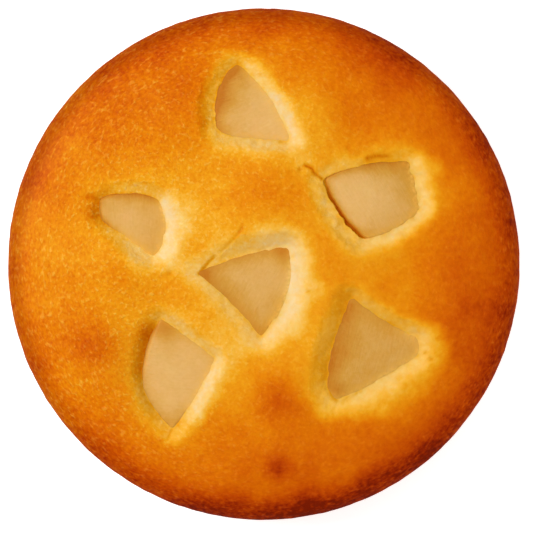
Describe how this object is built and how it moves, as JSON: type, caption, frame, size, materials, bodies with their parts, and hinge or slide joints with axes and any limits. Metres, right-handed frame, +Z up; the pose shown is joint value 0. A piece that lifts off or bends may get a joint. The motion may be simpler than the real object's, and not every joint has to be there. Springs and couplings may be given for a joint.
{
  "type": "pear cake",
  "caption": "Round, shallow, golden baked cake with a browned rounded shoulder and chunks of pear sunk into its top.",
  "frame": {"origin": "centre of the flat base", "axes": "+Z up, +X to the right and +Y to the top of the picture, which looks straight down"},
  "size_m": [0.2, 0.2, 0.0365],
  "materials": {
    "golden_crust": "browned, dry, finely grained crust",
    "pear_flesh": "moist baked fruit"
  },
  "bodies": {
    "root": {"cake": "golden_crust", "pear_top": "pear_flesh", "pear_right": "pear_flesh", "pear_left": "pear_flesh", "pear_centre": "pear_flesh", "pear_lower_left": "pear_flesh", "pear_lower_right": "pear_flesh"}
  },
  "joints": []
}
